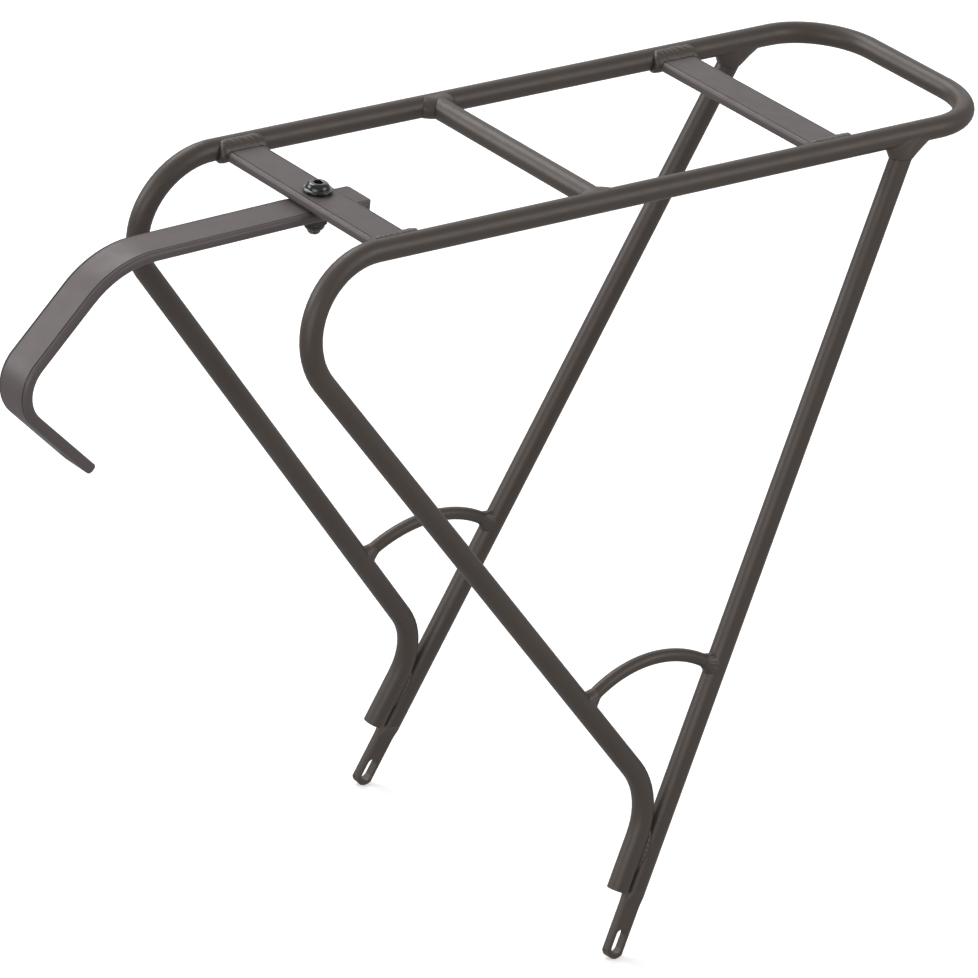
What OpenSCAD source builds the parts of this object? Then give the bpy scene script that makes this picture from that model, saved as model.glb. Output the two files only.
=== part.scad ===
// Rear carrier for a bicycle: one bent hoop, two stays, three cross members and a swivelling strut.
// Millimetres. +X towards the rear of the bicycle, +Y towards its right side, +Z up.
// The origin lies midway between the centres of the two slots that bolt to the bicycle's eyelets.

/* [Platform] */
// Diameter of the rod that the hoop, the stays and the middle cross rod are made of
rod_d = 10; // [8:0.5:12]
// Height of the rails' axes above the eyelet slots
rail_height = 356; // [300:1:400]
// Distance between the axes of the two rails
rail_spacing = 118.4; // [96:0.2:145]
// Distance from the eyelet slots back to the axis of the rear end
rear_reach = 199; // [185:1:240]
// Distance from the eyelet slots forward to where the rail and leg lines meet
front_reach = 223.3; // [212:0.1:270]
// Radius of the rod's bends, at its axis
bend_r = 33.5; // [24:0.5:38]

/* [Legs and stays] */
// Distance between the middles of the two feet
foot_spacing = 186.4; // [150:0.2:225]
// Slope of the legs, measured in the side plane
leg_angle = 50.3; // [48:0.1:54]
// Slope of the stays, measured in the side plane
stay_angle = 67.5; // [65:0.1:70]
// How far each leg runs down beside its stay, from the knee's corner to its cut end
leg_lap = 46.6; // [40:0.1:52]
// Gap between the leg and the stay, which the weld fills
leg_gap = 0.4; // [0.2:0.1:1]

/* [Eyelet ends] */
// Thickness of the milled flat at the foot of each stay
eyelet_t = 4; // [3:0.1:5]
// Width of the slot for the eyelet screw
slot_w = 6; // [5.2:0.1:6.4]
// Length of the slot, end to end
slot_l = 12; // [9:0.1:14]
// Wall of metal left below the slot
slot_wall = 2; // [1.6:0.1:4]
// Length of the flat above the slot's centre
flat_l = 16.5; // [12:0.5:20]
// Radius of the cutter that leaves the curved step above the flat
cutter_r = 14; // [8:0.5:20]

/* [Flat stock] */
// Width of the flat stock that the two cross bars and the strut are made of
flat_w = 20; // [16:0.5:24]
// Thickness of the flat stock
flat_t = 5; // [4:0.1:6]
// Radius of the flat stock's long edges
flat_edge_r = 2; // [1:0.1:2]
// How far the cross bars' middle lies below the rails' axes
bar_drop = 1; // [0:0.1:1.4]

/* [Cross members] */
// Distance from the eyelet slots forward to the middle of the front cross bar
front_bar_x = 139; // [130:1:145]
// Distance from the eyelet slots forward to the axis of the middle cross rod
mid_rod_x = 30.4; // [-20:0.2:60]
// Distance from the eyelet slots back to the middle of the rear cross bar
rear_bar_x = 105; // [80:1:115]

/* [Side braces] */
// Diameter of the brace rod
brace_d = 6; // [5:0.1:8]
// Radius of the brace's curve, at its axis
brace_r = 60; // [52:1:70]
// Height of the top of the brace's curve above the slots, in the side plane
brace_top = 134.9; // [120:0.1:150]
// Distance from the slots back to the top of the brace's curve
brace_x = 13.5; // [10:0.5:17]

/* [Strut] */
// Length of the strut behind the clamp bolt
strut_tail = 23.5; // [14:0.5:30]
// Length of the strut from the clamp bolt to the corner of its first bend
strut_run = 110; // [95:1:130]
// Slope of that length, downwards to the front
strut_droop = 1.4; // [0.5:0.1:4]
// Length between the corners of the strut's two bends
strut_fall = 72.5; // [66:0.5:90]
// Slope of that length below the horizontal
strut_fall_angle = 47.2; // [40:0.1:56]
// Length from the corner of the second bend to the strut's end
strut_toe = 59.7; // [45:0.1:75]
// Slope of that length below the horizontal, running back under the strut
strut_toe_angle = 42.6; // [36:0.1:50]
// Radius of the first bend, at the middle of the strip
strut_bend_1_r = 45; // [30:1:55]
// Radius of the second bend, at the middle of the strip
strut_bend_2_r = 18; // [12:0.5:24]
// Radius of the strut's corners at its tail
strut_corner_r = 3.5; // [1:0.5:6]
// Diameter of the hole in the strut's end
toe_hole_d = 6.5; // [5.2:0.1:8]
// Distance of that hole from the strut's end
toe_hole_inset = 8.4; // [7:0.1:14]

/* [Clamp bolt] */
// Thread diameter of the clamp bolt
bolt_d = 6; // [5:0.5:8]
// Diameter of the bolt's domed head
head_d = 10.7; // [9.5:0.1:13]
// Height of the head with its flange
head_h = 3.7; // [3.2:0.1:5]
// Diameter of the flange under the head
flange_d = 13.4; // [12:0.1:16]
// Thickness of the flange
flange_t = 0.9; // [0.6:0.1:1.4]
// Width across the flats of the hex socket
socket_af = 4; // [3:0.5:5]
// Depth of the hex socket
socket_h = 2.4; // [1.6:0.1:3]
// Length of the bolt under its head
bolt_l = 20; // [19:0.5:26]
// Diameter of the washer under the head
washer_d = 13; // [12:0.5:18]
// Thickness of the washer
washer_t = 0.8; // [0.6:0.1:1.6]
// Width across the flats of the lock nut
nut_af = 10; // [8:0.5:13]
// Height of the nut's hexagon
nut_h = 4.6; // [4:0.1:6]
// Height of the nut's round collar below the hexagon
nut_collar_h = 2; // [1:0.1:3]
// Radial clearance of the strut on the bolt
swivel_clear = 0.08; // [0.02:0.01:0.1]
// Radial clearance of the bolt in the cross bar
bar_clear = 0.2; // [0.1:0.05:0.4]
// Gap between the strut and the faces it turns against
face_clear = 0.05; // [0.02:0.01:0.1]

/* [Welds] */
// Leg of the fillet where the cross bars meet the rails
bar_weld = 3; // [2:0.1:4]
// How far the collar of the middle cross rod's weld spreads along the rail and the rod
mid_weld = 3.2; // [2:0.1:4.5]
// Height of that weld above and below the rail
mid_weld_proud = 0.8; // [0.4:0.1:1.5]
// How far the collars of the brace welds spread
brace_weld = 2.4; // [1.5:0.1:3.5]
// How far the stay's weld reaches along the rail in front of the stay
gusset_front = 8.5; // [7:0.1:11]
// How far the stay's weld reaches along the rail behind the stay
gusset_rear = 13; // [9:0.1:16]
// Depth of the stay's weld below the rail's axis
gusset_h = 12.5; // [10:0.1:16]
// How far the stay's weld stands out past the rod on each side
gusset_proud = 0.7; // [0.4:0.1:1.5]
// Thickness of the weld between leg and stay
foot_weld_t = 6.4; // [4:0.1:8]
// Distance of that weld's lower end above the leg's cut end
foot_weld_up = 8; // [4:0.5:12]

/* [Hidden] */
$fn = 96;

GRAPHITE = [0.27, 0.25, 0.24];
FLAT_GRAPHITE = [0.44, 0.41, 0.41];
BLACK = [0.06, 0.06, 0.06];

rod_r = rod_d / 2;
rail_y = rail_spacing / 2;
foot_y = foot_spacing / 2;
// Angle by which the side planes lean outwards towards the feet
splay = atan2(foot_y - rail_y, rail_height);
// Distance from the slots up to the rails' axes, in the side plane
side_h = norm([rail_height, foot_y - rail_y]);

// Bends of the hoop, in the order in which the rod meets them from the rear
front_turn = 180 - leg_angle;
knee_turn = 180 - leg_angle - stay_angle;
front_set = bend_r * tan(front_turn / 2);
knee_set = bend_r * tan(knee_turn / 2);
leg_offset = rod_d + leg_gap;

// In the side plane: u runs back along X and v runs up the plane
stay_dir = [cos(stay_angle), sin(stay_angle)];
stay_normal = [sin(stay_angle), -cos(stay_angle)];
leg_dir = [cos(leg_angle), -sin(leg_angle)];
stay_top_x = side_h / tan(stay_angle);
front_corner = [-front_reach, side_h];
leg_run = (-leg_offset - front_corner * stay_normal) / (leg_dir * stay_normal);
knee_corner = front_corner + leg_run * leg_dir;
rail_run = rear_reach - bend_r + front_reach - front_set;
// Distance of the leg's cut end above the slot, along the stay
leg_end_up = knee_corner * stay_dir - leg_lap;

// Where the brace's curve crosses a line through p along the unit vector d
brace_centre = [brace_x, brace_top - brace_r];
function crossing(p, d, way) =
    let (w = p - brace_centre, b = w * d, c = w * w - brace_r * brace_r)
    p + (-b + way * sqrt(b * b - c)) * d;
function bearing(p) = atan2(p.y - brace_centre.y, p.x - brace_centre.x);
brace_on_stay = bearing(crossing([0, 0], stay_dir, 1));
brace_on_leg = bearing(crossing(knee_corner, leg_dir, -1));

bar_z = rail_height - bar_drop;
bar_top = bar_z + flat_t / 2;
bar_bottom = bar_z - flat_t / 2;
strut_z = bar_bottom - face_clear - flat_t / 2;
strut_bottom = strut_z - flat_t / 2;
// Angles that the strut turns through at the front of the cross bar and at its two bends
strut_turn_1 = strut_fall_angle - strut_droop;
strut_turn_2 = 180 - strut_fall_angle - strut_toe_angle;
strut_set_1 = strut_bend_1_r * tan(strut_turn_1 / 2);
strut_set_2 = strut_bend_2_r * tan(strut_turn_2 / 2);
droop_r = 200;
droop_set = droop_r * tan(strut_droop / 2);
// Bent metal is this much fuller all round than straight metal, and straights reach this far into it
bend_swell = 0.03;
bend_lap = 0.1;
// Distance from the bolt to the corner where the strut starts to slope, past the cross bar's edge
strut_flat = flat_w / 2 + droop_set;
hole_room = 1;

// ---- Bending: each step draws its stretch and carries on from its end, heading along +Z ----

// A straight, with a lap into the bend at its start and, unless it is the last one, at its end
module run(length, last = false) {
    translate([0, 0, -bend_lap]) cylinder(h = length + (last ? 1 : 2) * bend_lap, r = rod_r);
    translate([0, 0, length]) children();
}

module turn_to(radius, angle) {
    translate([radius, 0, 0]) rotate([0, angle, 0]) translate([-radius, 0, 0]) children();
}

module bend(angle) {
    translate([bend_r, 0, 0]) rotate([90, 0, 180])
        rotate_extrude(angle = angle) translate([bend_r, 0]) circle(r = rod_r + bend_swell);
    turn_to(bend_r, angle) children();
}

module roll(angle) {
    rotate([0, 0, angle]) children();
}

// Section of the flat stock: its width along Y and its thickness along X
module flat_section(swell = 0) {
    corner = [flat_t / 2 - flat_edge_r, flat_w / 2 - flat_edge_r];
    for (side = [-1, 1])
        for (face = [-1, 1])
            translate([face * corner.x, side * corner.y]) circle(r = flat_edge_r + swell);
    square([flat_t + 2 * swell, 2 * corner.y], center = true);
    square([2 * corner.x, flat_w + 2 * swell], center = true);
}

module flat_run(length, first = false, last = false) {
    low = first ? 0 : -bend_lap;
    high = last ? length : length + bend_lap;
    translate([0, 0, low]) linear_extrude(high - low) flat_section();
    translate([0, 0, length]) children();
}

module flat_bend(radius, angle) {
    translate([radius, 0, 0]) rotate([90, 0, 180])
        rotate_extrude(angle = angle) translate([radius, 0]) flat_section(bend_swell);
    turn_to(radius, angle) children();
}

// ---- Places ----

// Puts a shape drawn for the left side on the side asked for
module on_side(side) {
    if (side == "left") children();
    else mirror([0, 1, 0]) children();
}

// The left side plane: X is u, Y is v, and Z points out of the carrier
module side_plane() {
    translate([0, -foot_y, 0]) rotate([90 - splay, 0, 0]) children();
}

// The stay's frame in the side plane: Z runs up the stay, X points back, Y points into the carrier
module stay_frame() {
    side_plane() rotate([0, 0, stay_angle - 90]) rotate([-90, 0, 0]) children();
}

module stay_bore() {
    stay_frame() translate([0, 0, -side_h / 2]) cylinder(h = 2 * side_h, r = rod_r);
}

module leg_bore() {
    side_plane() translate(knee_corner) rotate([0, 0, 90 - leg_angle]) rotate([-90, 0, 0])
        cylinder(h = leg_run, r = rod_r);
}

module leg_end_bore() {
    stay_frame() translate([-leg_offset, 0, 0]) cylinder(h = side_h, r = rod_r);
}

module rail_bore() {
    translate([-front_reach, -rail_y, rail_height]) rotate([0, 90, 0])
        cylinder(h = front_reach + rear_reach, r = rod_r);
}

module both_rail_bores() {
    for (side = ["left", "right"]) on_side(side) rail_bore();
}

module at_bolt(z) {
    translate([-front_bar_x, 0, z]) children();
}

// ---- Rods ----

// One side of the hoop, bent from the end of the straight across its rear
module half_hoop() {
    translate([rear_reach, bend_r - rail_y, rail_height]) rotate([90, 0, 0]) roll(180)
        bend(90)
        run(rail_run) roll(90 + splay) bend(front_turn)
        run(leg_run - front_set - knee_set) roll(180) bend(knee_turn)
        run(leg_lap - knee_set, last = true);
}

module carrier_hoop() {
    rear_run = 2 * (rail_y - bend_r + bend_lap);
    color(GRAPHITE) union() {
        translate([rear_reach, 0, rail_height]) rotate([90, 0, 0])
            cylinder(h = rear_run, r = rod_r, center = true);
        for (side = ["left", "right"]) on_side(side) half_hoop();
    }
}

// Outline of the stay's foot seen square to its flat, rounded about the slot's lower end
module foot_outline() {
    round_r = slot_w / 2 + slot_wall + 0.3;
    translate([0, -(slot_l - slot_w) / 2]) circle(r = round_r);
    translate([-rod_d, -(slot_l - slot_w) / 2]) square([2 * rod_d, 2 * side_h]);
}

module slot_outline() {
    for (end = [-1, 1]) translate([0, end * (slot_l - slot_w) / 2]) circle(d = slot_w);
    square([slot_w, slot_l - slot_w], center = true);
}

// Metal milled off one face: the flat, and the step left by the round cutter
module flat_cut() {
    translate([-rod_d, eyelet_t / 2, -slot_l]) cube([2 * rod_d, rod_d, slot_l + flat_l]);
    translate([-rod_d, eyelet_t / 2 + cutter_r, flat_l]) rotate([0, 90, 0])
        cylinder(h = 2 * rod_d, r = cutter_r);
}

module stay(side) {
    color(GRAPHITE) on_side(side) difference() {
        stay_frame() difference() {
            intersection() {
                translate([0, 0, -slot_l]) cylinder(h = slot_l + side_h / sin(stay_angle), r = rod_r);
                rotate([90, 0, 0]) linear_extrude(2 * rod_d, center = true) foot_outline();
            }
            for (face = [0, 1]) mirror([0, face, 0]) flat_cut();
            rotate([90, 0, 0]) linear_extrude(2 * rod_d, center = true) slot_outline();
        }
        rail_bore();
    }
}

module stay_left() { stay("left"); }
module stay_right() { stay("right"); }

module mid_cross_rod() {
    color(GRAPHITE) difference() {
        translate([-mid_rod_x, 0, rail_height]) rotate([90, 0, 0])
            cylinder(h = rail_spacing - rod_r, r = rod_r, center = true);
        both_rail_bores();
    }
}

module brace_rod() {
    side_plane() translate(brace_centre) rotate([0, 0, brace_on_stay])
        rotate_extrude(angle = brace_on_leg - brace_on_stay) translate([brace_r, 0]) circle(d = brace_d);
}

module brace(side) {
    color(GRAPHITE) on_side(side) difference() {
        brace_rod();
        stay_bore();
        leg_bore();
    }
}

module brace_left() { brace("left"); }
module brace_right() { brace("right"); }

// ---- Flat stock ----

module cross_bar(x) {
    translate([x, rail_y - rod_r / 2, bar_z]) rotate([90, 90, 0])
        linear_extrude(rail_spacing - rod_r) flat_section();
}

module front_cross_bar() {
    color(FLAT_GRAPHITE) difference() {
        cross_bar(-front_bar_x);
        both_rail_bores();
        at_bolt(bar_bottom - hole_room) cylinder(h = flat_t + 2 * hole_room, r = bolt_d / 2 + bar_clear);
    }
}

module rear_cross_bar() {
    color(FLAT_GRAPHITE) difference() {
        cross_bar(rear_bar_x);
        both_rail_bores();
    }
}

// Metal outside the rounded corners at the strut's tail
module tail_corners() {
    difference() {
        translate([-strut_corner_r, -flat_w]) square([2 * strut_corner_r, 2 * flat_w]);
        square([4 * strut_corner_r, flat_w - 2 * strut_corner_r], center = true);
        for (edge = [-1, 1])
            translate([-strut_corner_r, edge * (flat_w / 2 - strut_corner_r)]) circle(r = strut_corner_r);
    }
}

module toe_hole() {
    rotate([0, 90, 0]) cylinder(h = 2 * flat_t, d = toe_hole_d, center = true);
}

// The strip from its tail to its toe, bending towards +X as it goes
module strut_strip() {
    flat_run(strut_tail + strut_flat - droop_set, first = true) flat_bend(droop_r, strut_droop)
        flat_run(strut_run - strut_flat - droop_set - strut_set_1) flat_bend(strut_bend_1_r, strut_turn_1)
        flat_run(strut_fall - strut_set_1 - strut_set_2) flat_bend(strut_bend_2_r, strut_turn_2)
        difference() {
            flat_run(strut_toe - strut_set_2, last = true);
            translate([0, 0, strut_toe - strut_set_2 - toe_hole_inset]) toe_hole();
        }
}

module front_strut() {
    color(FLAT_GRAPHITE) difference() {
        translate([strut_tail - front_bar_x, 0, strut_z]) rotate([0, -90, 0]) mirror([1, 0, 0])
            strut_strip();
        at_bolt(strut_bottom - hole_room)
            cylinder(h = flat_t + 2 * hole_room, r = bolt_d / 2 + swivel_clear);
        translate([strut_tail - front_bar_x, 0, strut_bottom - hole_room])
            linear_extrude(flat_t + 2 * hole_room) tail_corners();
    }
}

// ---- Clamp bolt ----

// Half outline of the head: flange, then a dome that meets the flat top
module head_profile() {
    dome_h = head_h - flange_t;
    top_r = socket_af * 0.73;
    rise_r = (pow(head_d / 2 - top_r, 2) + pow(dome_h, 2)) / (2 * dome_h);
    square([flange_d / 2, flange_t]);
    intersection() {
        translate([0, flange_t]) square([head_d / 2, dome_h]);
        union() {
            square([top_r, head_h]);
            translate([top_r, flange_t + dome_h - rise_r]) circle(r = rise_r);
        }
    }
}

module clamp_bolt() {
    tip = 0.8;
    head_z = bar_top + washer_t;
    color(BLACK) difference() {
        union() {
            at_bolt(head_z) rotate_extrude() head_profile();
            at_bolt(head_z - bolt_l + tip) cylinder(h = bolt_l - tip, d = bolt_d);
            at_bolt(head_z - bolt_l) cylinder(h = tip, d1 = bolt_d - 2 * tip, d2 = bolt_d);
        }
        at_bolt(head_z + head_h - socket_h) cylinder(h = 2 * socket_h, d = socket_af / cos(30), $fn = 6);
    }
}

module bolt_washer() {
    color(BLACK) at_bolt(bar_top) difference() {
        cylinder(h = washer_t, d = washer_d);
        translate([0, 0, -hole_room]) cylinder(h = washer_t + 2 * hole_room, r = bolt_d / 2 + bar_clear);
    }
}

module lock_nut() {
    collar_d = nut_af - 0.8;
    color(BLACK) at_bolt(strut_bottom - face_clear - nut_h - nut_collar_h) difference() {
        union() {
            translate([0, 0, nut_collar_h]) intersection() {
                cylinder(h = nut_h, d = nut_af / cos(30), $fn = 6);
                cylinder(h = 2 * nut_h, d1 = nut_af - 0.4, d2 = nut_af - 0.4 + 4 * nut_h);
            }
            cylinder(h = nut_collar_h / 2, d1 = collar_d - nut_collar_h / 2, d2 = collar_d);
            translate([0, 0, nut_collar_h / 2]) cylinder(h = nut_collar_h / 2, d = collar_d);
        }
        translate([0, 0, -hole_room]) cylinder(h = nut_h + nut_collar_h + 2 * hole_room, d = bolt_d);
    }
}

// ---- Welds, each shaped to the surfaces it joins ----

// Triangular web in the corner between a stay and its rail
module stay_gusset(side) {
    foot_x = stay_top_x - gusset_h / tan(stay_angle);
    half_w = rod_r / sin(stay_angle) + gusset_proud;
    color(GRAPHITE) on_side(side) difference() {
        side_plane() linear_extrude(rod_d + 2 * gusset_proud, center = true) polygon([
            [stay_top_x - rod_r - gusset_front, side_h - rod_r / 2],
            [stay_top_x - rod_r - gusset_front, side_h - rod_r - gusset_proud],
            [foot_x - half_w, side_h - gusset_h],
            [foot_x + half_w, side_h - gusset_h],
            [stay_top_x + gusset_rear, side_h - rod_r - gusset_proud / 2],
            [stay_top_x + gusset_rear, side_h - rod_r / 2]
        ]);
        stay_bore();
        rail_bore();
    }
}

module stay_gusset_left() { stay_gusset("left"); }
module stay_gusset_right() { stay_gusset("right"); }

// Filling of the groove between the leg's end and the stay
module foot_weld(side) {
    low = leg_end_up + foot_weld_up;
    high = knee_corner * stay_dir - knee_set;
    color(GRAPHITE) on_side(side) difference() {
        stay_frame() translate([-leg_offset, -foot_weld_t / 2, low])
            cube([leg_offset, foot_weld_t, high - low]);
        stay_bore();
        leg_end_bore();
    }
}

module foot_weld_left() { foot_weld("left"); }
module foot_weld_right() { foot_weld("right"); }

// Flared collar about +Z: it narrows from the joint towards the rod of radius r
module flare(r, spread, depth) {
    rotate_extrude() difference() {
        square([r + spread, depth + spread]);
        translate([r + 1.3 * spread, depth + spread]) circle(r = 1.2 * spread);
    }
}

// Collar on the brace where it meets a rod, at a bearing on the brace's curve
module brace_weld_at(angle, way) {
    back_off = rod_r + brace_weld / 2;
    step = way * back_off / brace_r * 180 / PI;
    side_plane() translate(brace_centre) rotate([0, 0, angle + step])
        translate([brace_r, 0, 0]) rotate([-90 * way, 0, 0])
        translate([0, 0, -back_off]) flare(brace_d / 2, brace_weld, rod_r);
}

module brace_leg_weld(side) {
    color(GRAPHITE) on_side(side) difference() {
        brace_weld_at(brace_on_leg, -1);
        brace_rod();
        leg_bore();
    }
}

module brace_stay_weld(side) {
    color(GRAPHITE) on_side(side) difference() {
        brace_weld_at(brace_on_stay, 1);
        brace_rod();
        stay_bore();
    }
}

module brace_leg_weld_left() { brace_leg_weld("left"); }
module brace_leg_weld_right() { brace_leg_weld("right"); }
module brace_stay_weld_left() { brace_stay_weld("left"); }
module brace_stay_weld_right() { brace_stay_weld("right"); }

// Bead along X with rounded, narrowing ends
module bead(length, r) {
    arc_r = (length * length / 4 + r * r) / (2 * r);
    translate([-length / 2, 0, 0]) rotate([0, 90, 0]) rotate_extrude() intersection() {
        square([r, length]);
        translate([r - arc_r, length / 2]) circle(r = arc_r);
    }
}

// Beads above and below the end of a cross bar
module bar_weld_pair(x, side) {
    color(GRAPHITE) on_side(side) difference() {
        for (z = [bar_top, bar_bottom])
            translate([x, -rail_y + rod_r, z]) bead(flat_w + bar_weld, bar_weld);
        cross_bar(x);
        rail_bore();
    }
}

module front_bar_weld_left() { bar_weld_pair(-front_bar_x, "left"); }
module front_bar_weld_right() { bar_weld_pair(-front_bar_x, "right"); }
module rear_bar_weld_left() { bar_weld_pair(rear_bar_x, "left"); }
module rear_bar_weld_right() { bar_weld_pair(rear_bar_x, "right"); }

// Collar at the middle rod's end, level with a slab a little thicker than the rail
module mid_rod_weld(side) {
    color(GRAPHITE) on_side(side) difference() {
        intersection() {
            translate([-mid_rod_x, -rail_y, rail_height]) rotate([-90, 0, 0])
                flare(rod_r, mid_weld, rod_r);
            translate([-mid_rod_x, -rail_y, rail_height])
                cube([2 * rod_d, 2 * rod_d, rod_d + 2 * mid_weld_proud], center = true);
        }
        translate([-mid_rod_x, 0, rail_height]) rotate([90, 0, 0])
            cylinder(h = rail_spacing, r = rod_r, center = true);
        rail_bore();
    }
}

module mid_rod_weld_left() { mid_rod_weld("left"); }
module mid_rod_weld_right() { mid_rod_weld("right"); }

carrier_hoop();
stay_left();
stay_right();
mid_cross_rod();
front_cross_bar();
rear_cross_bar();
brace_left();
brace_right();
stay_gusset_left();
stay_gusset_right();
foot_weld_left();
foot_weld_right();
brace_leg_weld_left();
brace_leg_weld_right();
brace_stay_weld_left();
brace_stay_weld_right();
front_bar_weld_left();
front_bar_weld_right();
rear_bar_weld_left();
rear_bar_weld_right();
mid_rod_weld_left();
mid_rod_weld_right();
front_strut();
clamp_bolt();
bolt_washer();
lock_nut();
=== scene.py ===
"""Looks of a bent-rod bicycle rear carrier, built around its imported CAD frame.

The rods, the cross bars, the strut, the washer and the nut are the CAD nodes with a finish.
The welds and the clamp bolt are new pieces that stand for their plain CAD nodes.
All sizes are in metres, in the frame of the CAD model: +X to the rear, +Y to the right, +Z up.
"""

import logging
import math
from dataclasses import dataclass, field, replace
from enum import Enum

import bmesh
import bpy
import numpy as np
from mathutils import Matrix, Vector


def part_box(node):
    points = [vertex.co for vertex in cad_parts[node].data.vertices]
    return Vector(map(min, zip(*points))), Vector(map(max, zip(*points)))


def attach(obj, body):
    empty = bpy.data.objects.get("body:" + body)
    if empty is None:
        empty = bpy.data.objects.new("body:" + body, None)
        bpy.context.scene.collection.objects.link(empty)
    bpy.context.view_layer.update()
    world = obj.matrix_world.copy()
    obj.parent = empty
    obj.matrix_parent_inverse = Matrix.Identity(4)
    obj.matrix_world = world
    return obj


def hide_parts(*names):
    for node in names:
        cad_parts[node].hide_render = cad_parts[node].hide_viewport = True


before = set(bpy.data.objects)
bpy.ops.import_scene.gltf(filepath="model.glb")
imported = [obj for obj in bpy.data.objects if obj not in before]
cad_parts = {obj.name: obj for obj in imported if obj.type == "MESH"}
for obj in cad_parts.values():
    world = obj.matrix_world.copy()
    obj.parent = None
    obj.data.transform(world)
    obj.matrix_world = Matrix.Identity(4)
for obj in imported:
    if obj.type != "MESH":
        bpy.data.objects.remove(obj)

log = logging.getLogger("carrier")
MM = 0.001
Array = np.ndarray
Socket = bpy.types.NodeSocket


class Side(Enum):
    """A side of the carrier, with the sign of its Y."""

    LEFT = -1
    RIGHT = 1

    @property
    def word(self) -> str:
        """The side's name as it stands at the end of a node's name."""
        return self.name.lower()


class Body(Enum):
    """The rigid bodies of the CAD model."""

    FRAME = "frame"
    STRUT = "strut"


class Axis(Enum):
    """A level axis of the carrier's frame, with its place in a point."""

    X = 0
    Y = 1


# ---- Finishes ----


class NodeSheet:
    """Small helper that adds shader nodes to one material and joins them."""

    def __init__(self, name: str) -> None:
        """Makes the material and finds its shader.

        Args:
            name: The material's name.
        """
        self.material = bpy.data.materials.new(name)
        self.material.use_nodes = True
        self.tree = self.material.node_tree
        self.shader = self.tree.nodes["Principled BSDF"]
        self.coords = self.tree.nodes.new("ShaderNodeTexCoord").outputs["Object"]

    def noise(
        self, size: float, detail: float, stretch: tuple[float, float, float] = (1, 1, 1)
    ) -> Socket:
        """Adds a noise on Object coordinates.

        Args:
            size: Length of one grain of the noise, in metres.
            detail: Number of finer octaves.
            stretch: How much denser the noise is along each axis.

        Returns:
            The noise's value socket.
        """
        mapping = self.tree.nodes.new("ShaderNodeMapping")
        mapping.inputs["Scale"].default_value = stretch
        noise = self.tree.nodes.new("ShaderNodeTexNoise")
        noise.inputs["Scale"].default_value = 1 / size
        noise.inputs["Detail"].default_value = detail
        self.tree.links.new(self.coords, mapping.inputs["Vector"])
        self.tree.links.new(mapping.outputs["Vector"], noise.inputs["Vector"])
        return noise.outputs["Fac"]

    def spread(
        self, value: Socket, low: float, high: float, start: float = 0.3, end: float = 0.7
    ) -> Socket:
        """Maps a value from start..end to low..high.

        Args:
            value: The socket to map.
            low: Result at start.
            high: Result at end.
            start: Lowest value that counts.
            end: Highest value that counts.

        Returns:
            The mapped value's socket.
        """
        span = self.tree.nodes.new("ShaderNodeMapRange")
        for socket, number in (("From Min", start), ("From Max", end), ("To Min", low), ("To Max", high)):
            span.inputs[socket].default_value = number
        self.tree.links.new(value, span.inputs["Value"])
        return span.outputs["Result"]

    def distance(self, across: Axis, middle: float, offset: float) -> Socket:
        """Distance from the two lines that lie at an offset on either side of a middle.

        Args:
            across: Axis along which the distance is counted.
            middle: The middle's coordinate.
            offset: Distance of each line from the middle.

        Returns:
            The socket of | |coordinate - middle| - offset |.
        """
        parts = self.tree.nodes.new("ShaderNodeSeparateXYZ")
        self.tree.links.new(self.coords, parts.inputs["Vector"])
        value = parts.outputs[across.value]
        for shift in (middle, offset):
            less = self.tree.nodes.new("ShaderNodeMath")
            less.operation = "SUBTRACT"
            less.inputs[1].default_value = shift
            self.tree.links.new(value, less.inputs[0])
            size = self.tree.nodes.new("ShaderNodeMath")
            size.operation = "ABSOLUTE"
            self.tree.links.new(less.outputs[0], size.inputs[0])
            value = size.outputs[0]
        return value

    def product(self, a: Socket, b: Socket) -> Socket:
        """Multiplies two sockets and returns the result's socket."""
        node = self.tree.nodes.new("ShaderNodeMath")
        node.operation = "MULTIPLY"
        self.tree.links.new(a, node.inputs[0])
        self.tree.links.new(b, node.inputs[1])
        return node.outputs[0]

    def shade(self, colour: tuple[float, float, float], factor: Socket) -> None:
        """Gives the shader a colour whose brightness varies.

        Args:
            colour: The colour where factor is 1.
            factor: Socket that the colour is multiplied by.
        """
        node = self.tree.nodes.new("ShaderNodeVectorMath")
        node.operation = "SCALE"
        node.inputs[0].default_value = colour
        self.tree.links.new(factor, node.inputs["Scale"])
        self.tree.links.new(node.outputs[0], self.shader.inputs["Base Color"])

    def join(self, value: Socket, socket: str) -> None:
        """Joins a value to one of the shader's sockets."""
        self.tree.links.new(value, self.shader.inputs[socket])

    def bump(self, *layers: tuple[Socket, float]) -> None:
        """Stacks bumps on the shader.

        Args:
            layers: Pairs of a height socket and the height's depth in metres.
        """
        below = None
        for height, depth in layers:
            node = self.tree.nodes.new("ShaderNodeBump")
            node.inputs["Distance"].default_value = depth
            self.tree.links.new(height, node.inputs["Height"])
            if below is not None:
                self.tree.links.new(below, node.inputs["Normal"])
            below = node.outputs["Normal"]
        self.join(below, "Normal")


@dataclass(frozen=True)
class EdgeGrooveAndPaintedShade:
    """A fine groove bumped in on each side of rolled strip, where its flat meets its rounded edge, with painted
    shade that darkens the colour along it.
    """

    across: Axis
    middle: float
    offset: float = 8.15 * MM
    width: float = 1.1 * MM
    depth: float = 0.5 * MM
    # Brightness of the painted shade in the middle of the line, as a share of the coat's colour.
    shade: float = 0.15


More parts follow.
